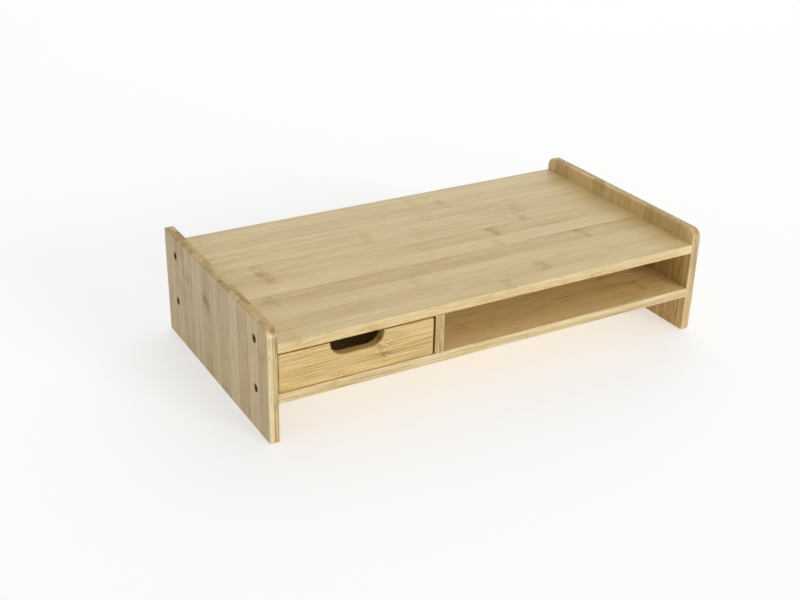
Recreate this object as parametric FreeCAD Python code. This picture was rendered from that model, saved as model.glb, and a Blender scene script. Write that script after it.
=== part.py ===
import FreeCAD, Part
import math
import os

from FreeCAD import Base

# Bamboo monitor stand with a small drawer, at rest with the drawer closed.
# Millimetres. +X is the stand's right, the front is at -Y, +Z is up.
# Origin: middle of the footprint, on the desk surface.

V = Base.Vector

# ---------------------------------------------------------------- sizes
WIDTH = 490.0            # over the side panels
DEPTH = 255.0            # front to back
HEIGHT = 115.0           # side panels
BOARD = 10.0             # thickness of every board of the stand
TOP_Z = 99.5             # upper face of the top board
SHELF_Z = 49.2           # upper face of the lower shelf
CORNER_R = 10.0          # rounded upper corners of the side panels
SQUARE_R = 1.5           # the corners that are only eased
EASE = 1.0               # eased board edges

DIVIDER_X = -75.0        # left face of the divider, the drawer bay's right wall

# screws through the side panels into the board ends
SCREW_Y = 99.0           # both sides of the middle
SCREW_D = 4.0
SCREW_LEN = 30.0         # length inside the board end
SCREW_TIP = 4.0
SINK_D = 8.4             # counterbore
SINK_DEPTH = 4.0
SINK_CHAMFER = 0.2       # broken edge at its mouth
HEAD_D = 7.8
HEAD_H = 3.3
SOCKET_AF = 3.0          # hexagon socket
SOCKET_DEPTH = 1.9

# dowels beside the screws
DOWEL_Y = 52.0
DOWEL_D = 6.0
DOWEL_LEN = 24.0
DOWEL_IN_PANEL = 7.0
DOWEL_CHAMFER = 0.6

# divider fixings
DIV_SCREW_Y = 90.0
DIV_SCREW_D = 3.5
DIV_SCREW_HEAD = 7.0
DIV_SCREW_HEAD_H = 2.2
DIV_SCREW_LEN = 33.0
DIV_DOWEL_Y = 80.0
DIV_DOWEL_LEN = 20.0
DIV_DOWEL_IN_TOP = 6.0

# drawer
BAY_LEFT = -WIDTH / 2 + BOARD
BAY_RIGHT = DIVIDER_X
FRONT_BACK = 0.5         # drawer front behind the board edges
FRONT_GAP_LEFT = 0.3     # beside the drawer front
FRONT_GAP_RIGHT = 1.3
FRONT_GAP_TOP = 1.4
FRONT_GAP_LOW = 0.5
FRONT_T = 10.0
FRONT_CORNER = 2.0
FRONT_EASE = 1.6
NOTCH_X = -156.4         # middle of the finger notch
NOTCH_HALF = 27.2
NOTCH_Z = 73.2           # its lowest line
NOTCH_R = 14.2
DR_SLIDE_GAP = 0.3       # under the drawer sides
DR_SIDE_T = 8.0
DR_SIDE_H = 33.0
DR_DEPTH = 235.0
GROOVE_Z = 3.2           # above the lower edge of the drawer sides
GROOVE_H = 3.2
GROOVE_IN = 4.0
BOTTOM_T = 3.0
BOTTOM_IN = 3.5
DR_DOWEL_D = 5.0

# drawer stop
STOP_GAP = 0.3
STOP_T = 12.0
STOP_H = 10.0

# ---------------------------------------------------------------- derived
X0, X1 = -WIDTH / 2, WIDTH / 2
XI0, XI1 = X0 + BOARD, X1 - BOARD
YF, YB = -DEPTH / 2, DEPTH / 2
TOP_LOW = TOP_Z - BOARD
SHELF_LOW = SHELF_Z - BOARD
TOP_MID = TOP_Z - BOARD / 2
SHELF_MID = SHELF_Z - BOARD / 2
DIV_MID = DIVIDER_X + BOARD / 2


def box(x0, y0, z0, x1, y1, z1):
    return Part.makeBox(x1 - x0, y1 - y0, z1 - z0, V(x0, y0, z0))


def cyl(d, length, base, axis):
    return Part.makeCylinder(d / 2.0, length, base, axis)


def near(a, b, tol=1e-4):
    return abs(a - b) < tol


def edges_where(shape, test):
    """Edges whose two ends (and middle) all pass the test."""
    out = []
    for e in shape.Edges:
        pts = [v.Point for v in e.Vertexes]
        pts.append(e.valueAt((e.FirstParameter + e.LastParameter) / 2.0))
        if all(test(p) for p in pts):
            out.append(e)
    return out


def clean(shape):
    s = shape.removeSplitter()
    if s.ShapeType == "Compound" and len(s.Solids) == 1:
        s = s.Solids[0]
    return s


def rounded_profile(pts, radii, plane):
    """Closed wire of straight lines and corner arcs; plane maps (a, b) to a point."""
    n = len(pts)
    ins, outs, mids = [], [], []
    for i in range(n):
        p0, p, p1 = pts[i - 1], pts[i], pts[(i + 1) % n]
        d0 = (p0[0] - p[0], p0[1] - p[1])
        d1 = (p1[0] - p[0], p1[1] - p[1])
        l0, l1 = math.hypot(*d0), math.hypot(*d1)
        u0, u1 = (d0[0] / l0, d0[1] / l0), (d1[0] / l1, d1[1] / l1)
        r = radii[i]
        if r <= 0:
            ins.append(p)
            outs.append(p)
            mids.append(None)
            continue
        half = math.acos(max(-1.0, min(1.0, u0[0] * u1[0] + u0[1] * u1[1]))) / 2.0
        t = r / math.tan(half)
        a = (p[0] + u0[0] * t, p[1] + u0[1] * t)
        b = (p[0] + u1[0] * t, p[1] + u1[1] * t)
        bis = (u0[0] + u1[0], u0[1] + u1[1])
        lb = math.hypot(*bis)
        h = r / math.sin(half)
        c = (p[0] + bis[0] / lb * h, p[1] + bis[1] / lb * h)
        m = (c[0] - bis[0] / lb * r, c[1] - bis[1] / lb * r)
        ins.append(a)
        outs.append(b)
        mids.append(m)
    edges = []
    for i in range(n):
        if mids[i] is not None:
            edges.append(Part.Arc(plane(*ins[i]), plane(*mids[i]), plane(*outs[i])).toShape())
        a, b = outs[i], ins[(i + 1) % n]
        if math.hypot(a[0] - b[0], a[1] - b[1]) > 1e-6:
            edges.append(Part.LineSegment(plane(*a), plane(*b)).toShape())
    return Part.Wire(edges)


# ---------------------------------------------------------------- side panels
def side_panel(x_in, x_out, back_r):
    """Upright board in the YZ plane, its two big faces at x_in and x_out."""
    lo = min(x_in, x_out)
    pts = [(YF, 0.0), (YB, 0.0), (YB, HEIGHT), (YF, HEIGHT)]
    wire = rounded_profile(pts, [SQUARE_R, SQUARE_R, back_r, CORNER_R], lambda a, b: V(lo, a, b))
    body = Part.Face(wire).extrude(V(BOARD, 0, 0))
    rims = edges_where(body, lambda p: near(p.x, lo)) + edges_where(body, lambda p: near(p.x, lo + BOARD))
    body = body.makeFillet(EASE, rims)
    out = 1.0 if x_out > x_in else -1.0
    for z in (TOP_MID, SHELF_MID):
        for y in (-SCREW_Y, SCREW_Y):
            # counterbore from outside, clearance hole through the rest
            body = body.cut(cyl(SINK_D, SINK_DEPTH + 1.0, V(x_out + out, y, z), V(-out, 0, 0)))
            body = body.cut(cyl(SCREW_D, BOARD + 2.0, V(x_out + out, y, z), V(-out, 0, 0)))
            r = SINK_D / 2.0
            mouth = Part.makeCone(r + SINK_CHAMFER, r, SINK_CHAMFER, V(x_out, y, z), V(-out, 0, 0))
            body = body.cut(mouth)
        for y in (-DOWEL_Y, DOWEL_Y):
            body = body.cut(cyl(DOWEL_D, DOWEL_IN_PANEL + 1.0, V(x_in - out, y, z), V(out, 0, 0)))
    return clean(body)


left_side_panel = side_panel(XI0, X0, SQUARE_R)
right_side_panel = side_panel(XI1, X1, CORNER_R)


# ---------------------------------------------------------------- boards
def board(z0, z1):
    """Board between the side panels with its four long edges eased."""
    b = box(XI0, YF, z0, XI1, YB, z1)
    long_edges = edges_where(b, lambda p: (near(abs(p.y), DEPTH / 2)) and (near(p.z, z0) or near(p.z, z1)))
    long_edges = [e for e in long_edges if e.Length > 100]
    b = b.makeFillet(EASE, long_edges)
    zm = (z0 + z1) / 2.0
    for x_in, inward in ((XI0, 1.0), (XI1, -1.0)):
        for y in (-SCREW_Y, SCREW_Y):
            b = b.cut(cyl(SCREW_D, SCREW_LEN + 1.0, V(x_in - inward, y, zm), V(inward, 0, 0)))
        for y in (-DOWEL_Y, DOWEL_Y):
            depth = DOWEL_LEN - DOWEL_IN_PANEL + 0.5
            b = b.cut(cyl(DOWEL_D, depth + 1.0, V(x_in - inward, y, zm), V(inward, 0, 0)))
    return b


top_board = board(TOP_LOW, TOP_Z)
for y in (-DIV_DOWEL_Y, DIV_DOWEL_Y):
    top_board = top_board.cut(cyl(DOWEL_D, DIV_DOWEL_IN_TOP + 1.0, V(DIV_MID, y, TOP_LOW - 1.0), V(0, 0, 1)))
top_board = clean(top_board)

lower_shelf = board(SHELF_LOW, SHELF_Z)
for y in (-DIV_SCREW_Y, DIV_SCREW_Y):
    lower_shelf = lower_shelf.cut(cyl(DIV_SCREW_D, BOARD + 2.0, V(DIV_MID, y, SHELF_LOW - 1.0), V(0, 0, 1)))
    sink = Part.makeCone(DIV_SCREW_HEAD / 2, DIV_SCREW_D / 2, DIV_SCREW_HEAD_H, V(DIV_MID, y, SHELF_LOW), V(0, 0, 1))
    lower_shelf = lower_shelf.cut(sink)
lower_shelf = clean(lower_shelf)

# ---------------------------------------------------------------- divider
divider_panel = box(DIVIDER_X, YF, SHELF_Z, DIVIDER_X + BOARD, YB, TOP_LOW)
uprights = [e for e in divider_panel.Edges
            if near(e.Length, TOP_LOW - SHELF_Z) and near(abs(e.Vertexes[0].Point.y), DEPTH / 2)]
divider_panel = divider_panel.makeFillet(EASE, uprights)
for y in (-DIV_DOWEL_Y, DIV_DOWEL_Y):
    depth = DIV_DOWEL_LEN - DIV_DOWEL_IN_TOP + 0.5
    divider_panel = divider_panel.cut(cyl(DOWEL_D, depth + 1.0, V(DIV_MID, y, TOP_LOW + 1.0), V(0, 0, -1)))
for y in (-DIV_SCREW_Y, DIV_SCREW_Y):
    depth = DIV_SCREW_LEN - BOARD
    divider_panel = divider_panel.cut(cyl(DIV_SCREW_D, depth + 1.0, V(DIV_MID, y, SHELF_Z - 1.0), V(0, 0, 1)))
divider_panel = clean(divider_panel)


# ---------------------------------------------------------------- fixings
def hexagon(af, depth, base, axis):
    """Hexagonal prism across flats af, from base along axis (a row axis)."""
    r = af / math.sqrt(3.0)
    ax = V(axis)
    u = V(0, 1, 0) if abs(ax.y) < 0.5 else V(1, 0, 0)
    w = ax.cross(u)
    pts = []
    for i in range(7):
        a = math.radians(60.0 * (i % 6) + 30.0)
        pts.append(base + u * (r * math.cos(a)) + w * (r * math.sin(a)))
    return Part.Face(Part.makePolygon(pts)).extrude(ax * depth)


def panel_screw(x_out, out, y, z):
    """Socket screw: head in the counterbore, shank through the panel into the board end."""
    inward = V(-out, 0, 0)
    seat = V(x_out - out * SINK_DEPTH, y, z)          # underside of the head
    head = cyl(HEAD_D, HEAD_H, seat, V(out, 0, 0))
    rim = [e for e in head.Edges if e.Length > 5 and near(e.CenterOfMass.x, seat.x + out * HEAD_H)]
    head = head.makeFillet(0.45, rim)
    head = head.cut(hexagon(SOCKET_AF, SOCKET_DEPTH + 0.5,
                            seat + V(out, 0, 0) * (HEAD_H - SOCKET_DEPTH), V(out, 0, 0)))
    shank_len = (BOARD - SINK_DEPTH) + SCREW_LEN - SCREW_TIP
    shank = cyl(SCREW_D, shank_len, seat, inward)
    tip = Part.makeCone(SCREW_D / 2, 0.5, SCREW_TIP, seat + inward * shank_len, inward)
    return clean(head.fuse([shank, tip]))


def dowel(d, length, start, axis, chamfer=DOWEL_CHAMFER):
    """Round pin with chamfered ends, from start along axis."""
    ax = V(axis)
    body = Part.makeCone(d / 2 - chamfer, d / 2, chamfer, start, ax)
    mid = cyl(d, length - 2 * chamfer, start + ax * chamfer, ax)
    end = Part.makeCone(d / 2, d / 2 - chamfer, chamfer, start + ax * (length - chamfer), ax)
    return clean(body.fuse([mid, end]))


def group(solids):
    return Part.makeCompound(solids)


left_panel_screws = group([panel_screw(X0, -1.0, y, z) for z in (TOP_MID, SHELF_MID) for y in (-SCREW_Y, SCREW_Y)])
right_panel_screws = group([panel_screw(X1, 1.0, y, z) for z in (TOP_MID, SHELF_MID) for y in (-SCREW_Y, SCREW_Y)])

left_panel_dowels = group([dowel(DOWEL_D, DOWEL_LEN, V(XI0 - DOWEL_IN_PANEL, y, z), V(1, 0, 0))
                           for z in (TOP_MID, SHELF_MID) for y in (-DOWEL_Y, DOWEL_Y)])
right_panel_dowels = group([dowel(DOWEL_D, DOWEL_LEN, V(XI1 + DOWEL_IN_PANEL, y, z), V(-1, 0, 0))
                            for z in (TOP_MID, SHELF_MID) for y in (-DOWEL_Y, DOWEL_Y)])

divider_dowels = group([dowel(DOWEL_D, DIV_DOWEL_LEN, V(DIV_MID, y, TOP_LOW + DIV_DOWEL_IN_TOP), V(0, 0, -1))
                        for y in (-DIV_DOWEL_Y, DIV_DOWEL_Y)])


def divider_screw(y):
    """Countersunk screw from below: head flush with the shelf's underside, cross recess."""
    base = V(DIV_MID, y, SHELF_LOW)
    up = V(0, 0, 1)
    head = Part.makeCone(DIV_SCREW_HEAD / 2, DIV_SCREW_D / 2, DIV_SCREW_HEAD_H, base, up)
    n = DIV_SCREW_LEN - DIV_SCREW_HEAD_H - SCREW_TIP
    shank = cyl(DIV_SCREW_D, n, base + up * DIV_SCREW_HEAD_H, up)
    tip = Part.makeCone(DIV_SCREW_D / 2, 0.4, SCREW_TIP, base + up * (DIV_SCREW_HEAD_H + n), up)
    s = head.fuse([shank, tip])
    for a, b in ((3.6, 0.9), (0.9, 3.6)):
        s = s.cut(box(DIV_MID - a / 2, y - b / 2, SHELF_LOW - 1.0, DIV_MID + a / 2, y + b / 2, SHELF_LOW + 1.4))
    return clean(s)


divider_screws = group([divider_screw(y) for y in (-DIV_SCREW_Y, DIV_SCREW_Y)])

# ---------------------------------------------------------------- drawer
FX0, FX1 = BAY_LEFT + FRONT_GAP_LEFT, BAY_RIGHT - FRONT_GAP_RIGHT
FZ0, FZ1 = SHELF_Z + FRONT_GAP_LOW, TOP_LOW - FRONT_GAP_TOP
SZ0 = SHELF_Z + DR_SLIDE_GAP
SZ1 = SZ0 + DR_SIDE_H
DYF = YF + FRONT_BACK                  # face of the drawer front
DYB = DYF + DR_DEPTH                   # rear of the drawer
YR = DYF + FRONT_T                     # rear face of the drawer front
GZ0 = SZ0 + GROOVE_Z                   # groove for the bottom panel
GZ1 = GZ0 + GROOVE_H

# drawer front: notch profile cut from the top edge, all front edges rounded over
nl, nr = NOTCH_X - NOTCH_HALF, NOTCH_X + NOTCH_HALF
c = FRONT_CORNER
outline = rounded_profile(
    [(FX0, FZ0), (FX1, FZ0), (FX1, FZ1), (nr, FZ1), (nr, NOTCH_Z), (nl, NOTCH_Z), (nl, FZ1), (FX0, FZ1)],
    [c, c, c, 0, NOTCH_R, NOTCH_R, 0, c],
    lambda a, b: V(a, DYF, b))
drawer_front = Part.Face(outline).extrude(V(0, FRONT_T, 0))
front_rim = edges_where(drawer_front, lambda p: near(p.y, DYF))
drawer_front = drawer_front.makeFillet(FRONT_EASE, front_rim)
rear_rim = [e for e in edges_where(drawer_front, lambda p: near(p.y, YR))
            if e.CenterOfMass.z > NOTCH_Z - 1 and nl - 0.5 < e.CenterOfMass.x < nr + 0.5]
try:
    eased = drawer_front.makeFillet(0.8, rear_rim)
    if eased.isValid():
        drawer_front = eased
    else:
        print("rear notch edge left sharp")
except Exception as err:
    print("rear notch edge left sharp:", err)
groove_front = box(FX0 + DR_SIDE_T - GROOVE_IN, YR - GROOVE_IN, GZ0, FX1 - DR_SIDE_T + GROOVE_IN, YR + 1.0, GZ1)
drawer_front = drawer_front.cut(groove_front)

DOWEL_Z = (SZ0 + 11.0, SZ0 + 26.0)
FD_IN, FD_LEN = 7.0, 22.0              # drawer front dowels
BD_IN, BD_LEN = 5.0, 20.0              # drawer back dowels
side_x = (FX0 + DR_SIDE_T / 2, FX1 - DR_SIDE_T / 2)
for x in side_x:
    for z in DOWEL_Z:
        drawer_front = drawer_front.cut(cyl(DR_DOWEL_D, FD_IN + 1.0, V(x, YR + 1.0, z), V(0, -1, 0)))
drawer_front = clean(drawer_front)


def drawer_side(x0, x1, inner):
    """Side board; inner is the x of the face towards the drawer's inside."""
    s = box(x0, YR, SZ0, x1, DYB, SZ1)
    s = s.makeFillet(0.8, [e for e in s.Edges if e.Length > 200])
    sign = 1.0 if inner == x1 else -1.0
    a, b = sorted((inner - sign * GROOVE_IN, inner + sign * 1.0))
    s = s.cut(box(a, YR - 1.0, GZ0, b, DYB + 1.0, GZ1))
    xm = (x0 + x1) / 2
    for z in DOWEL_Z:
        s = s.cut(cyl(DR_DOWEL_D, FD_LEN - FD_IN + 0.5 + 1.0, V(xm, YR - 1.0, z), V(0, 1, 0)))
        s = s.cut(cyl(DR_DOWEL_D, BD_IN + 1.0, V(inner + sign, DYB - DR_SIDE_T / 2, z), V(-sign, 0, 0)))
    return clean(s)


drawer_left_side = drawer_side(FX0, FX0 + DR_SIDE_T, FX0 + DR_SIDE_T)
drawer_right_side = drawer_side(FX1 - DR_SIDE_T, FX1, FX1 - DR_SIDE_T)

drawer_back = box(FX0 + DR_SIDE_T, DYB - DR_SIDE_T, SZ0, FX1 - DR_SIDE_T, DYB, SZ1)
drawer_back = drawer_back.makeFillet(0.8, [e for e in drawer_back.Edges if e.Length > 100])
drawer_back = drawer_back.cut(box(FX0, DYB - DR_SIDE_T - 1.0, GZ0, FX1, DYB - DR_SIDE_T + GROOVE_IN, GZ1))
for z in DOWEL_Z:
    for x, s in ((FX0 + DR_SIDE_T, 1.0), (FX1 - DR_SIDE_T, -1.0)):
        drawer_back = drawer_back.cut(cyl(DR_DOWEL_D, BD_LEN - BD_IN + 0.5 + 1.0, V(x - s, DYB - DR_SIDE_T / 2, z), V(s, 0, 0)))
drawer_back = clean(drawer_back)

drawer_bottom = box(FX0 + DR_SIDE_T - BOTTOM_IN, YR - BOTTOM_IN, GZ0,
                    FX1 - DR_SIDE_T + BOTTOM_IN, DYB - DR_SIDE_T + BOTTOM_IN, GZ0 + BOTTOM_T)

drawer_front_dowels = group([dowel(DR_DOWEL_D, FD_LEN, V(x, YR - FD_IN, z), V(0, 1, 0), 0.5)
                             for x in side_x for z in DOWEL_Z])
drawer_back_dowels = group([dowel(DR_DOWEL_D, BD_LEN, V(x - s * BD_IN, DYB - DR_SIDE_T / 2, z), V(s, 0, 0), 0.5)
                            for x, s in ((FX0 + DR_SIDE_T, 1.0), (FX1 - DR_SIDE_T, -1.0)) for z in DOWEL_Z])

# ---------------------------------------------------------------- drawer stop
stop_y = DYB + STOP_GAP
drawer_stop = box(BAY_LEFT, stop_y, SHELF_Z, BAY_RIGHT, stop_y + STOP_T, SHELF_Z + STOP_H)
drawer_stop = drawer_stop.makeFillet(0.8, [e for e in drawer_stop.Edges
                                          if e.Length > 100 and e.CenterOfMass.z > SHELF_Z + 1.0])

# ---------------------------------------------------------------- output
nodes = {
    "left_side_panel": left_side_panel,
    "right_side_panel": right_side_panel,
    "top_board": top_board,
    "lower_shelf": lower_shelf,
    "divider_panel": divider_panel,
    "drawer_stop": drawer_stop,
    "left_panel_screws": left_panel_screws,
    "right_panel_screws": right_panel_screws,
    "left_panel_dowels": left_panel_dowels,
    "right_panel_dowels": right_panel_dowels,
    "divider_screws": divider_screws,
    "divider_dowels": divider_dowels,
    "drawer_front": drawer_front,
    "drawer_left_side": drawer_left_side,
    "drawer_right_side": drawer_right_side,
    "drawer_back": drawer_back,
    "drawer_bottom": drawer_bottom,
    "drawer_front_dowels": drawer_front_dowels,
    "drawer_back_dowels": drawer_back_dowels,
}

os.makedirs("parts", exist_ok=True)
for name, shape in nodes.items():
    if not shape.isValid():
        print("INVALID", name)
    b = shape.optimalBoundingBox()
    print("%-20s solids %d  vol %.1f cm3  x %.2f..%.2f  y %.2f..%.2f  z %.2f..%.2f" % (
        name, len(shape.Solids), shape.Volume / 1000.0, b.XMin, b.XMax, b.YMin, b.YMax, b.ZMin, b.ZMax))
    shape.exportStep("parts/%s.step" % name)
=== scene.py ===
import math

import bpy
from mathutils import Matrix, Vector


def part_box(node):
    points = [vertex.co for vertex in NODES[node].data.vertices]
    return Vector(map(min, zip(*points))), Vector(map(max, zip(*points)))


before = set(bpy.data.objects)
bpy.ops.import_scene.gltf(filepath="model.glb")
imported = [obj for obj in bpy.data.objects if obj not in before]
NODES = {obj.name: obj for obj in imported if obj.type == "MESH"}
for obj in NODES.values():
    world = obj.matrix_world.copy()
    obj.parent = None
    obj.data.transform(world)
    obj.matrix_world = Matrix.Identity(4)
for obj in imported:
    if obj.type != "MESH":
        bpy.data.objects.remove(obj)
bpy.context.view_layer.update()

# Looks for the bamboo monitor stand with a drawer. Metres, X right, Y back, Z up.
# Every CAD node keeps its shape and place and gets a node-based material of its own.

MM = 0.001


# ---------------------------------------------------------------- node graphs
class Val:
    """An output of a material's node tree that can be added, multiplied and so on."""

    def __init__(self, graph, socket):
        self.graph, self.socket = graph, socket

    def __add__(self, other):
        return self.graph.math("ADD", self, other)

    __radd__ = __add__

    def __sub__(self, other):
        return self.graph.math("SUBTRACT", self, other)

    def __rsub__(self, other):
        return self.graph.math("SUBTRACT", other, self)

    def __mul__(self, other):
        return self.graph.math("MULTIPLY", self, other)

    __rmul__ = __mul__

    def __truediv__(self, other):
        return self.graph.math("DIVIDE", self, other)

    def __abs__(self):
        return self.graph.math("ABSOLUTE", self)


class Graph:
    """A material with a Principled shader and short names for the nodes used here."""

    def __init__(self, name):
        self.mat = bpy.data.materials.new(name)
        self.mat.use_nodes = True
        self.tree = self.mat.node_tree
        self.tree.nodes.clear()
        self.out = self.node("ShaderNodeOutputMaterial")
        self.bsdf = self.node("ShaderNodeBsdfPrincipled")
        self.tree.links.new(self.bsdf.outputs[0], self.out.inputs["Surface"])

    def node(self, kind, **props):
        made = self.tree.nodes.new(kind)
        for key, value in props.items():
            setattr(made, key, value)
        return made

    def put(self, socket, value):
        if isinstance(value, Val):
            self.tree.links.new(value.socket, socket)
        else:
            socket.default_value = value

    def math(self, operation, *args, clamp=False):
        made = self.node("ShaderNodeMath", operation=operation, use_clamp=clamp)
        for socket, value in zip(made.inputs, args):
            self.put(socket, value)
        return Val(self, made.outputs[0])

    def least(self, *vals):
        found = vals[0]
        for v in vals[1:]:
            found = self.math("MINIMUM", found, v)
        return found

    def most(self, *vals):
        found = vals[0]
        for v in vals[1:]:
            found = self.math("MAXIMUM", found, v)
        return found

    def xyz(self, x, y, z):
        made = self.node("ShaderNodeCombineXYZ")
        for socket, value in zip(made.inputs, (x, y, z)):
            self.put(socket, value)
        return Val(self, made.outputs[0])

    def split(self, vector):
        made = self.node("ShaderNodeSeparateXYZ")
        self.put(made.inputs[0], vector)
        return [Val(self, o) for o in made.outputs]

    def place(self):
        """Object coordinates: the row frame in metres, carried along by the part."""
        return Val(self, self.node("ShaderNodeTexCoord").outputs["Object"])

    def normal(self):
        return Val(self, self.node("ShaderNodeTexCoord").outputs["Normal"])

    def noise(self, at, scale=(1, 1, 1), seed=0.0, detail=2.0, rough=0.5, bend=0.0):
        stretch = self.node("ShaderNodeMapping")
        self.put(stretch.inputs["Vector"], at)
        stretch.inputs["Scale"].default_value = scale
        stretch.inputs["Location"].default_value = (seed * 3.17, seed * 1.93 + 5, -seed * 2.41)
        made = self.node("ShaderNodeTexNoise", noise_dimensions="3D")
        self.put(made.inputs["Vector"], Val(self, stretch.outputs[0]))
        made.inputs["Scale"].default_value = 1.0
        made.inputs["Detail"].default_value = detail
        made.inputs["Roughness"].default_value = rough
        made.inputs["Distortion"].default_value = bend
        return Val(self, made.outputs["Fac"])

    def cells(self, at, scale=(1, 1, 1), seed=0.0, jitter=1.0):
        """Distance to the nearest of scattered points."""
        stretch = self.node("ShaderNodeMapping")
        self.put(stretch.inputs["Vector"], at)
        stretch.inputs["Scale"].default_value = scale
        stretch.inputs["Location"].default_value = (seed * 2.3, seed, -seed * 1.7)
        made = self.node("ShaderNodeTexVoronoi", voronoi_dimensions="3D", feature="F1")
        self.put(made.inputs["Vector"], Val(self, stretch.outputs[0]))
        made.inputs["Scale"].default_value = 1.0
        made.inputs["Randomness"].default_value = jitter
        return Val(self, made.outputs["Distance"])

    def white(self, x, y, z):
        """Four random numbers for the three whole numbers given."""
        made = self.node("ShaderNodeTexWhiteNoise", noise_dimensions="3D")
        self.put(made.inputs["Vector"], self.xyz(x, y, z))
        rgb = self.node("ShaderNodeSeparateColor")
        self.tree.links.new(made.outputs["Color"], rgb.inputs[0])
        return [Val(self, made.outputs["Value"])] + [Val(self, o) for o in rgb.outputs]

    def smooth(self, low, high, x):
        made = self.node("ShaderNodeMapRange", interpolation_type="SMOOTHSTEP")
        self.put(made.inputs["Value"], x)
        made.inputs["From Min"].default_value = low
        made.inputs["From Max"].default_value = high
        return Val(self, made.outputs["Result"])

    def fade(self, low, high, x):
        """1 where x is under low, 0 where it is over high."""
        made = self.node("ShaderNodeMapRange", interpolation_type="SMOOTHSTEP")
        self.put(made.inputs["Value"], x)
        made.inputs["From Min"].default_value = low
        made.inputs["From Max"].default_value = high
        made.inputs["To Min"].default_value = 1.0
        made.inputs["To Max"].default_value = 0.0
        return Val(self, made.outputs["Result"])

    def blend(self, factor, a, b):
        """A number between a and b."""
        made = self.node("ShaderNodeMix", data_type="FLOAT", clamp_factor=True)
        self.put(made.inputs["Factor"], factor)
        self.put(made.inputs["A"], a)
        self.put(made.inputs["B"], b)
        return Val(self, made.outputs["Result"])

    def ramp(self, x, stops, steps=False):
        """A colour for x; stops are (position, (r, g, b) or (r, g, b, a))."""
        made = self.node("ShaderNodeValToRGB")
        self.put(made.inputs["Fac"], x)
        bar = made.color_ramp
        bar.interpolation = "CONSTANT" if steps else "LINEAR"
        while len(bar.elements) < len(stops):
            bar.elements.new(0.5)
        for element, (at, colour) in zip(bar.elements, sorted(stops)):
            element.position = at
        for element, (at, colour) in zip(bar.elements, sorted(stops)):
            element.color = tuple(colour) if len(colour) == 4 else (*colour, 1.0)
        return made

    def colour(self, mode, factor, a, b):
        made = self.node("ShaderNodeMix", data_type="RGBA", blend_type=mode, clamp_factor=True)
        self.put(made.inputs["Factor"], factor)
        for socket, value in ((made.inputs[6], a), (made.inputs[7], b)):
            self.put(socket, value if isinstance(value, Val) else (*value, 1.0)[:4])
        return Val(self, made.outputs[2])

    def times(self, colour, r, g, b):
        made = self.node("ShaderNodeVectorMath", operation="MULTIPLY")
        self.put(made.inputs[0], colour)
        self.put(made.inputs[1], self.xyz(r, g, b))
        return Val(self, made.outputs[0])

    def bump(self, height, distance, strength=1.0):
        made = self.node("ShaderNodeBump")
        made.inputs["Strength"].default_value = strength
        made.inputs["Distance"].default_value = distance
        self.put(made.inputs["Height"], height)
        self.tree.links.new(made.outputs["Normal"], self.bsdf.inputs["Normal"])

    def shader(self, **sockets):
        for key, value in sockets.items():
            self.put(self.bsdf.inputs[key.replace("_", " ")], value)


def wear(part, graph):
    """Puts a material on every slot of a CAD node."""
    mesh = NODES[part].data
    if not mesh.materials:
        mesh.materials.append(graph.mat)
    for i in range(len(mesh.materials)):
        mesh.materials[i] = graph.mat


# ------------------------------------------------------------------- bamboo
# Flat-pressed bamboo: two plies of strips, each strip with a tone of its own, thin
# glue lines, fine fibre streaks along the grain, and a culm joint every 20 to 30 cm.
PALE = (0.760, 0.600, 0.320)
FRESH = (0.635, 0.470, 0.205)
TAN = (0.485, 0.325, 0.112)
BROWN = (0.270, 0.155, 0.040)
SMOKE = (0.150, 0.080, 0.006)
STRIP = 23 * MM
STRIP_FROM = -130.5 * MM


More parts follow.
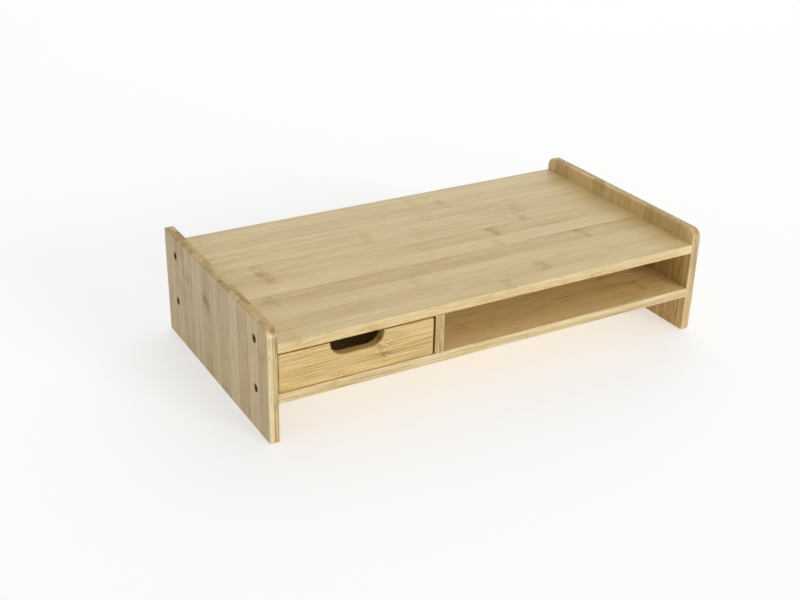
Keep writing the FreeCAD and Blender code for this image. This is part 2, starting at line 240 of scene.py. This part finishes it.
def bamboo(part, grain, across, seed, strip=STRIP, start=STRIP_FROM, plies=2, slip=11 * MM,
           shown=1, table=None, tint=(1.0, 1.0, 1.0), depth=0.0, streak=(1.0, 1.0, 1.0), lines=1.0,
           tone=1.0, nodes=1.0, span=250 * MM, end=0.42, end_tone=0.5, rough=0.40,
           coat=0.15, fine=1.0, sides=(0.0, 0.0), side_tint=(0.88, 0.93, 1.12), flecks=0.10, lip=0.07,
           long=1.0, cool=0.0, spots=(), extra=None):
    """A bamboo board. grain and across are axis numbers. table lists, for the strips of
    the ply that shows, (tone, joint, second joint, how strong); others are random."""
    g = Graph("bamboo_" + part)
    thick = 3 - grain - across
    low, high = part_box(part)
    axes = g.split(g.place())
    u, v, w = axes[grain], axes[across], axes[thick]
    faces = g.split(g.normal())
    on_end = g.smooth(0.45, 0.85, abs(faces[grain]))
    on_side = g.smooth(0.45, 0.85, abs(faces[across]))

    # which ply and which strip
    step = (high[thick] - low[thick]) / plies
    ply_at = (w - low[thick]) / step
    ply = g.math("MINIMUM", g.math("MAXIMUM", g.math("FLOOR", ply_at), 0.0), plies - 1.0)
    in_ply = ply_at - ply
    is_shown = g.math("COMPARE", ply, float(shown), 0.1)
    slid = g.math("MULTIPLY", g.math("SUBTRACT", 1.0, is_shown), slip)
    at = (v - start + slid) / strip
    number = g.math("FLOOR", at)
    across_strip = at - number
    to_joint = g.least(across_strip, 1.0 - across_strip) * strip

    r0, r1, r2, r3 = g.white(number, ply, seed + 0.5)
    q0, q1, q2, q3 = g.white(number, ply, seed + 7.5)
    strip_tone = (r0 - 0.5) * 2.0
    strength = q0 * 0.5 + 0.45
    half = span / 2
    bow = (g.noise(g.xyz(u, v, w), (12, 80, 80), seed + 1, 2) - 0.5) * (8 * MM)
    bow = bow + (across_strip - 0.5) * (q1 - 0.5) * (7 * MM)
    off = g.math("WRAP", u + r1 * span, half, -half) + bow
    if table:
        count = len(table)
        reach = high[grain] - low[grain]
        stops = []
        for i, (t, a, b, k) in enumerate(row[:4] for row in table):
            a = (a * MM - low[grain]) / reach if a is not None else -0.5
            b = (b * MM - low[grain]) / reach if b is not None else -0.5
            stops.append((i / count, (t, a * 0.5 + 0.4, b * 0.5 + 0.4, k / 2)))
        look = g.ramp((number + 0.5) / count, stops, steps=True)
        rgb = g.node("ShaderNodeSeparateColor")
        g.tree.links.new(look.outputs["Color"], rgb.inputs[0])
        t_tone, t_a, t_b = [Val(g, o) for o in rgb.outputs]
        t_k = Val(g, look.outputs["Alpha"]) * 2.0
        off_a = u - ((t_a - 0.4) * (2.0 * reach) + low[grain]) + bow
        off_b = u - ((t_b - 0.4) * (2.0 * reach) + low[grain]) + bow
        first = g.math("LESS_THAN", abs(off_a), abs(off_b))
        strip_tone = g.blend(is_shown, strip_tone, t_tone * 2.0 - 1.0)
        off = g.blend(is_shown, off, g.blend(first, off_b, off_a))
        strength = g.blend(is_shown, strength, t_k)
    way = g.math("SIGN", q3 - 0.5)
    off = off * way
    near = abs(off)
    strength = strength * nodes

    # fibres, disturbed near a culm joint, new for every strip
    halo = g.fade(3 * MM, 20 * MM, near)
    swirl = (g.noise(g.xyz(u, v, w), (130, 210, 210), seed + 2, 2) - 0.5) * halo * (2.6 * MM)
    drift = (g.noise(g.xyz(u + number * 1.7, v, w), (5, 20, 20), seed + 3, 1) - 0.5) * (2.2 * MM)
    fibre = g.xyz(u + number * 7.31 + ply * 3.7, v + swirl + drift, w + swirl * 0.6)
    broad = g.noise(fibre, (5.0, 110, 110), seed + 4, 2) - 0.5
    medium = g.noise(fibre, (15 / long, 400, 400), seed + 5, 3, 0.55) - 0.5
    small = g.noise(fibre, (52 / long, 1150 * fine, 1150 * fine), seed + 6, 2, 0.6) - 0.5
    cloud = g.noise(g.xyz(u + number * 3.1, v, w), (22, 48, 48), seed + 15, 2) - 0.5
    vessel = g.smooth(0.585, 0.72, g.noise(fibre, (11, 820, 820), seed + 8, 2, 0.6))
    vessel = vessel * g.smooth(0.35, 0.62, g.noise(fibre, (3.5, 75, 75), seed + 9, 1))
    slow = g.noise(g.xyz(u, number * 0.37 + ply * 2.1, w * 0.0), (6.5, 9, 1), seed + 10, 2) - 0.5

    # culm joint: a mottled brown patch that fades out along the fibres on one side,
    # with pale and dark flecks, and a faint ridge line
    patch = g.fade(0.25, 1.0, g.most(off / (6.5 * MM), off / (-12 * MM)))
    core = g.fade(0.0, 1.0, near / (5 * MM))
    mottle = g.noise(g.xyz(u, v + swirl, w + swirl), (210, 420, 420), seed + 11, 3, 0.65) - 0.5
    blotch = g.smooth(0.42, 0.62, g.noise(g.xyz(u, v, w), (60, 85, 85), seed + 12, 2))
    pale = g.smooth(0.56, 0.66, g.noise(g.xyz(u, v + swirl, w + swirl), (260, 560, 560), seed + 14, 2, 0.6))
    ridge = g.fade(0.2 * MM, 1.3 * MM, near)
    mark = patch * 0.09 + core * 0.03 + patch * blotch * 0.15 + patch * mottle * 0.95 + ridge * 0.02 + halo * 0.03
    joint = strength * (g.least(mark, 0.30) - patch * pale * flecks)

    # glue between strips and between the plies
    border = g.math("ROUND", at)
    b0, b1, b2, b3 = g.white(border, ply, seed + 21.5)
    along = g.smooth(0.35, 0.65, g.noise(g.xyz(u, border * 0.83, ply), (9, 1, 1), seed + 13, 1))
    seen = b0 * b0 * 0.30
    if table and len(table[0]) > 4:
        bar = g.ramp((border + 0.5) / count, [(i / count, (row[4],) * 3) for i, row in enumerate(table)], steps=True)
        seen = g.blend(is_shown, seen, Val(g, bar.outputs["Color"]))
    glue = g.fade(0.1 * MM, 0.75 * MM, to_joint) * (seen * (along * 0.4 + 0.75) + 0.03)
    glue = glue + g.fade(0.2 * MM, 3.0 * MM, to_joint) * (b1 - 0.5) * 0.10
    if plies > 1:
        seam = g.fade(0.0, 0.32 * MM, abs(in_ply * step - g.math("ROUND", in_ply) * step))
        inside = g.math("GREATER_THAN", ply_at, 0.3) * g.math("LESS_THAN", ply_at, plies - 0.3)
        glue = glue + seam * inside * 0.11

    # cut ends show the strips' cross-section: pores, denser towards one face of the ply
    lean = (in_ply - 0.5) * (q2 - 0.5)
    pore = g.fade(0.16, 0.46, g.cells(g.xyz(u * 0.3, v, w), (900, 1150, 1150), seed))
    ends = on_end * (end + strip_tone * 0.15 * end_tone + lean * 0.15 + (pore - 0.4) * 0.09)
    by_ply = g.blend(g.math("LESS_THAN", ply, 0.5), sides[1], sides[0])
    edges = on_side * (by_ply + lean * 0.16)

    # arrises are a little paler: partly sanded wood, partly a painted highlight along the eased edges
    gaps = [g.least(a - low[k], high[k] - a) for k, a in ((grain, u), (across, v), (thick, w))]
    lips = [g.fade(0.1 * MM, 1.3 * MM, x) for x in gaps]
    arris = g.most(lips[0] * lips[1], lips[1] * lips[2], lips[0] * lips[2])

    calm = 1.0 - on_side * 0.5
    cut = 1.0 - on_end * 0.6
    stain = (strip_tone * cut * (0.180 * tone) + (across_strip - 0.5) * (r3 - 0.5) * 0.14
             + broad * calm * (0.50 * streak[0]) + medium * cut * (0.52 * streak[1])
             + small * cut * g.blend(on_side, 0.60 * streak[2], 1.25) + vessel * cut * (0.12 * lines)
             + (slow * 0.50 + cloud * 0.32) * calm * streak[0])
    stain = stain + joint + glue + ends + edges - arris * lip + (0.40 + depth)
    if extra:
        stain = extra(g, stain, axes, faces)
    paint = g.ramp(stain, [(0.0, PALE), (0.42, FRESH), (0.74, TAN), (1.0, BROWN)])
    hue = (r2 - 0.5) * 2.0 + (broad * 0.6)
    cast = [g.blend(on_end, g.blend(on_side, a, b), 1.05) for a, b in zip(tint, side_tint)]
    # painted sheen: cool makes the board bluer towards the back and warmer towards the front, standing in for the
    # reflection of the white surroundings
    painted_sheen = v * (cool / 0.1)
    base = g.times(Val(g, paint.outputs["Color"]), (hue * 0.013 + 1.0) * cast[0],
                   (hue * -0.006 - joint * 0.12 + painted_sheen * 0.3 + 1.0) * cast[1],
                   (hue * -0.036 - joint * 0.60 + painted_sheen + 1.0) * cast[2])
    for at_u, at_v, half_u, half_v, how in spots:
        # a smoky stain, streaked along the grain
        oval = g.fade(0.25, 1.0, abs(v - at_v * MM) / (half_v * MM) + medium * 0.8)
        core = g.fade(0.1, 1.0, abs(u - at_u * MM) / (half_u * MM) + mottle * 1.2)
        trail = g.fade(0.1, 1.0, abs(u - at_u * MM) / (half_u * 4.0 * MM) + broad * 0.8)
        base = g.colour("MIX", oval * (core * 0.75 + trail * 0.25) * how, base, SMOKE)
    gloss = (stain - 0.4) * 0.10 + medium * 0.10 + on_end * 0.14 + small * 0.10 + rough
    g.shader(Base_Color=base, Roughness=gloss)
    g.bsdf.inputs["IOR"].default_value = 1.46
    g.bsdf.inputs["Coat Weight"].default_value = coat
    g.bsdf.inputs["Coat Roughness"].default_value = 0.24
    g.bsdf.inputs["Coat IOR"].default_value = 1.48
    height = small * 0.5 + medium * 0.5 - vessel * 0.5 - glue * 4.0 - joint * 0.6 + on_end * (pore * -0.8)
    g.bump(height, 0.12 * MM, 0.6)
    wear(part, g)
    return g


# Strips of the deck's upper ply from the front edge to the back: tone (0 light, 1
# dark), places of the culm joints along X in mm, how strongly they show, and how
# strongly the glue line along the strip's front border shows.
DECK = [
    (0.38, 13, -216, 0.55, 0.1), (0.60, 67, None, 0.9, 0.2), (0.40, -67, 205, 0.45, 0.13),
    (0.86, 153, -204, 0.8, 0.25), (0.15, 60, None, 0.6, 0.5), (0.67, -190, 69, 1.0, 0.2),
    (0.58, -191, 118, 1.1, 0.06), (0.48, 126, -60, 0.6, 0.28), (0.38, -222, 24, 0.4, 0.2),
    (0.58, 62, None, 0.9, 0.15), (0.38, 30, -215, 0.5, 0.15), (0.50, None, -90, 0.5, 0.15),
]
# the left panel's outer ply, joints along Z
LEFT = [
    (0.38, 86, None, 0.6), (0.13, None, None, 0.5), (0.71, 12, None, 0.4), (0.21, None, None, 0.5),
    (0.56, 4, None, 0.4), (0.44, None, None, 0.5), (0.96, 79, None, 0.8), (0.42, None, None, 0.5),
    (0.61, 81, None, 0.5), (0.70, 108, None, 0.4), (0.56, None, None, 0.5), (0.70, None, None, 0.5),
]
# the shelf's upper ply, joints along X
SHELF = [
    (0.35, -180, 60, 0.5), (0.50, 196, -20, 0.8), (0.60, 164, -100, 0.9), (0.66, 222, 20, 0.6),
    (0.50, 90, -150, 0.6), (0.60, -30, 210, 0.6), (0.40, 130, -120, 0.6), (0.55, -210, 40, 0.6),
    (0.45, 0, 190, 0.6), (0.60, -80, 150, 0.6), (0.40, 60, -190, 0.6), (0.50, -140, 110, 0.6),
]
# the drawer front's strips, counted from the lower edge, joints along X
DRAWER = [(0.02, -171, None, 1.1), (0.48, -171, None, 0.9), (0.60, -132, None, 0.8), (0.45, -210, None, 0.4)]


def notch_cut(g, stain, axes, faces):
    """The finger notch's upward-facing wall is made about as pale as the face round it, taking off the painted shade
    that sides puts on the drawer front's top and bottom edges; all the notch's walls are a little paler as well.
    """
    near = g.fade(28.6 * MM, 30 * MM, abs(axes[0] + 156.4 * MM)) * g.fade(86.9 * MM, 87.7 * MM, axes[2])
    return stain + near * g.fade(0.40, 0.85, abs(faces[1])) * (g.smooth(0.4, 0.95, faces[2]) * -0.27 - 0.04)


def hole_painted_shade(g, stain, axes, faces):
    """The walls of the screw holes are darker: painted shade inside the holes."""
    dy = abs(axes[1]) - 99 * MM
    dz = abs(axes[2] - 69.35 * MM) - 25.15 * MM
    hole = g.fade(4.25 * MM, 4.40 * MM, g.math("SQRT", dy * dy + dz * dz))
    return stain + hole * g.fade(0.3, 0.9, abs(faces[0])) * 0.5


def deck_painted_light(g, stain, axes, faces):
    """Tones tuned to the photo, painted light and shade: the deck painted paler by the right panel to offset that
    panel's shadow, and painted darker by the left one as shade.
    """
    left = g.fade(-235 * MM, -140 * MM, axes[0]) * g.smooth(-50 * MM, 0.0, axes[1])
    return stain + left * 0.08 - g.smooth(212 * MM, 232 * MM, axes[0]) * 0.20


def right_face(g, stain, axes, faces):
    """Tones tuned to the photo: the right panel's inner face darker under the deck. They
    stand in for shade there, and aren't a colour that was seen."""
    inner = g.fade(-0.8, -0.5, faces[0])
    low = g.fade(88 * MM, 99 * MM, axes[2]) * 0.33 + g.fade(38 * MM, 49 * MM, axes[2]) * 0.08 - 0.05
    return hole_painted_shade(g, stain, axes, faces) + inner * low


def gap_painted_shade(g, stain, axes, faces):
    """A dark band near the front of the divider's drawer side, and that whole side a little darker: painted shade, so
    that the gap reads dark.
    """
    front = g.fade(0.0, 14 * MM, axes[1] + 126 * MM)
    return stain + g.fade(-0.8, -0.5, faces[0]) * (front * 0.60 + 0.06)


# cool paints a sheen on the deck: bluer towards the back
bamboo("top_board", 0, 1, 3, table=DECK, sides=(0.08, 0.08), streak=(0.68, 0.85, 1.0), tone=1.1, flecks=0.16, cool=0.05,
       spots=((68, -97, 7, 7, 0.22),), extra=deck_painted_light)
# tint and depth make the shelf warmer and paler: painted light, standing in for light and warm bounce from the deck
# reaching it under the deck; sides puts its edges back to their own tone
bamboo("lower_shelf", 0, 1, 8, table=SHELF, tint=(1.15, 1.09, 1.00), depth=-0.24, sides=(0.35, 0.35),
       streak=(0.5, 2.1, 3.7), lines=0.6, tone=0.5, long=1.6)
# tint and depth grey and darken the whole left panel: painted shade, standing in for the shade its outer face sits in
bamboo("left_side_panel", 2, 1, 12, shown=0, table=LEFT, tint=(0.785, 0.778, 0.775), end=0.29, end_tone=0.25,
       depth=0.11, sides=(-0.08, 0.29), streak=(0.85, 1.2, 1.7), spots=((81.0, 18.6, 6, 8.5, 0.88),),
       extra=hole_painted_shade)
# The right panel's warm tint is partly the wood's golden tone and partly painted warm light bounced from the deck
bamboo("right_side_panel", 2, 1, 17, shown=1, tint=(0.96, 0.92, 0.88), end=0.33, end_tone=0.35,
       sides=(0.30, 0.29), streak=(0.7, 1.4, 2.4), tone=0.8, long=1.4, extra=right_face)
bamboo("divider_panel", 2, 1, 23, shown=1, sides=(0.35, 0.20), extra=gap_painted_shade)
# sides darkens the drawer front's top and bottom edges: painted shade, so the gaps above and below the front read dark;
# notch_cut takes it off the notch's wall
bamboo("drawer_front", 0, 2, 31, start=11.5 * MM, table=DRAWER, shown=0, plies=2, depth=0.12, end=0.40,
       sides=(0.30, 0.30), tint=(0.825, 0.79, 0.73), side_tint=(1.06, 0.94, 0.78), streak=(0.25, 0.95, 3.2),
       lines=1.4, tone=0.6, flecks=0.9, lip=0.15, long=2.4, extra=notch_cut)
bamboo("drawer_left_side", 1, 2, 37, strip=16 * MM, start=40 * MM, plies=2, shown=1)
bamboo("drawer_right_side", 1, 2, 41, strip=16 * MM, start=42 * MM, plies=2, shown=0)
bamboo("drawer_back", 0, 2, 43, strip=16 * MM, start=41 * MM, plies=2, shown=0)
bamboo("drawer_bottom", 0, 1, 47, strip=31 * MM, plies=3, shown=2)
bamboo("drawer_stop", 0, 1, 53, strip=12 * MM, start=107.8 * MM, plies=2, shown=1)


# -------------------------------------------------------------------- metals
def steel(part, colour, edge, seed, rough):
    g = Graph("steel_" + part)
    at = g.place()
    cloud = g.noise(at, (420, 420, 420), seed, 3, 0.6)
    grit = g.noise(at, (2600, 2600, 2600), seed + 1, 2, 0.7)
    turned = g.noise(at, (500, 5200, 5200), seed + 2, 1)
    mark = g.smooth(0.6, 0.72, g.noise(at, (900, 240, 3100), seed + 3, 1))
    mixed = g.math("ADD", cloud * 0.6, grit * 0.4)
    paint = g.colour("MIX", g.smooth(0.35, 0.68, mixed), colour, edge)
    paint = g.colour("MIX", mark * 0.35, paint, tuple(min(1.0, c * 1.9 + 0.05) for c in edge))
    g.shader(Base_Color=paint, Roughness=mixed * 0.25 + mark * 0.1 + rough)
    g.bsdf.inputs["Metallic"].default_value = 1.0
    g.bump(turned * 0.5 + grit * 0.5 - mark * 0.7, 0.03 * MM, 0.5)
    wear(part, g)


steel("left_panel_screws", (0.055, 0.035, 0.014), (0.100, 0.066, 0.030), 2, 0.42)
steel("right_panel_screws", (0.055, 0.035, 0.014), (0.100, 0.066, 0.030), 5, 0.42)
steel("divider_screws", (0.47, 0.47, 0.45), (0.62, 0.61, 0.57), 9, 0.28)


# --------------------------------------------------------------------- beech
def beech(part, grain, seed):
    g = Graph("beech_" + part)
    axes = g.split(g.place())
    others = [a for k, a in enumerate(axes) if k != grain]
    at = g.xyz(axes[grain], *others)
    rings = g.noise(at, (9, 520, 520), seed, 3, 0.55)
    fleck = g.smooth(0.58, 0.70, g.noise(at, (260, 1500, 1500), seed + 1, 2))
    pore = g.noise(at, (60, 3200, 3200), seed + 2, 2)
    tone = rings * 0.7 + fleck * 0.25 + (pore - 0.5) * 0.3
    paint = g.ramp(tone, [(0.15, (0.66, 0.47, 0.29)), (0.5, (0.56, 0.37, 0.21)), (0.85, (0.40, 0.24, 0.12))])
    g.shader(Base_Color=Val(g, paint.outputs["Color"]), Roughness=pore * 0.15 + fleck * 0.05 + 0.52)
    g.bump(pore * 0.6 - fleck * 0.4 + rings * 0.4, 0.06 * MM, 0.5)
    wear(part, g)


for i, (part, grain) in enumerate((("left_panel_dowels", 0), ("right_panel_dowels", 0), ("divider_dowels", 2),
                                   ("drawer_front_dowels", 1), ("drawer_back_dowels", 0))):
    beech(part, grain, 60 + 3 * i)


# -------------------------------------------------------------------- studio
def floor():
    size = 40.0
    mesh = bpy.data.meshes.new("floor")
    mesh.from_pydata([(-size, -size, 0), (size, -size, 0), (size, size, 0), (-size, size, 0)], [], [(0, 1, 2, 3)])
    made = bpy.data.objects.new("floor", mesh)
    bpy.context.scene.collection.objects.link(made)
    made.location.z = -0.0002
    g = Graph("floor_paper")
    at = g.place()
    speck = g.noise(at, (900, 900, 900), 1, 2)
    cloud = g.noise(at, (3, 3, 3), 2, 2)
    tone = (speck - 0.5) * 0.012 + (cloud - 0.5) * 0.012 + 1.0
    base = g.times(g.xyz(0.55, 0.55, 0.547), tone, tone, tone)
    g.shader(Base_Color=base, Roughness=speck * 0.1 + 0.55)
    g.bsdf.inputs["Specular IOR Level"].default_value = 0.2
    g.bsdf.inputs["Emission Color"].default_value = (1.0, 1.0, 1.0, 1.0)
    g.bsdf.inputs["Emission Strength"].default_value = FLOOR_GLOW
    clear = g.node("ShaderNodeBsdfTransparent")
    pick = g.node("ShaderNodeMixShader")
    g.tree.links.new(g.node("ShaderNodeNewGeometry").outputs["Backfacing"], pick.inputs[0])
    g.tree.links.new(g.bsdf.outputs[0], pick.inputs[1])
    g.tree.links.new(clear.outputs[0], pick.inputs[2])
    g.tree.links.new(pick.outputs[0], g.out.inputs["Surface"])
    mesh.materials.append(g.mat)
    return made


# name, azimuth and elevation it comes from, softness in degrees, strength
LIGHTS = [("key", 20, 12, 24, 1.58), ("side", -20, 12, 30, 0.42), ("back", 140, 36, 60, 0.52), ("top", 0, 85, 60, 0.14)]
WORLD = 0.555
FLOOR_GLOW = 0.50


def lights():
    for name, azimuth, elevation, soft, strength in LIGHTS:
        data = bpy.data.lights.new(name, "SUN")
        data.energy = strength
        data.angle = math.radians(soft)
        made = bpy.data.objects.new(name, data)
        bpy.context.scene.collection.objects.link(made)
        a, e = math.radians(azimuth), math.radians(elevation)
        came = Vector((math.sin(a) * math.cos(e), -math.cos(a) * math.cos(e), math.sin(e)))
        made.rotation_mode = "QUATERNION"
        made.rotation_quaternion = came.to_track_quat("Z", "Y")
        made.location = came * 3
    world = bpy.data.worlds.new("studio")
    world.use_nodes = True
    back = world.node_tree.nodes["Background"]
    back.inputs["Color"].default_value = (1.0, 1.0, 1.0, 1.0)
    back.inputs["Strength"].default_value = WORLD
    bpy.context.scene.world = world


def camera():
    """The photograph's viewing angle: azimuth -30.1, elevation 26.3 degrees, from 1.27 m."""
    a, e, r = math.radians(-30.12), math.radians(26.30), math.radians(1.26)
    target = Vector((-0.03275, 0.0125, 0.0350))
    back = Vector((math.sin(a) * math.cos(e), -math.cos(a) * math.cos(e), math.sin(e)))
    right = (-back).cross(Vector((0, 0, 1))).normalized()
    up = right.cross(-back)
    turned = math.cos(r) * right + math.sin(r) * up
    upward = -math.sin(r) * right + math.cos(r) * up
    data = bpy.data.cameras.new("camera")
    data.sensor_width = 36.0
    data.lens = 1208.96 * 36.0 / 800
    data.clip_start, data.clip_end = 0.01, 100
    made = bpy.data.objects.new("camera", data)
    bpy.context.scene.collection.objects.link(made)
    place = target + back * 1.27006
    made.matrix_world = Matrix((
        (turned.x, upward.x, back.x, place.x),
        (turned.y, upward.y, back.y, place.y),
        (turned.z, upward.z, back.z, place.z),
        (0, 0, 0, 1),
    ))
    bpy.context.scene.camera = made


floor()
lights()
camera()
bpy.context.scene.view_settings.view_transform = "Standard"
bpy.context.scene.view_settings.look = "None"
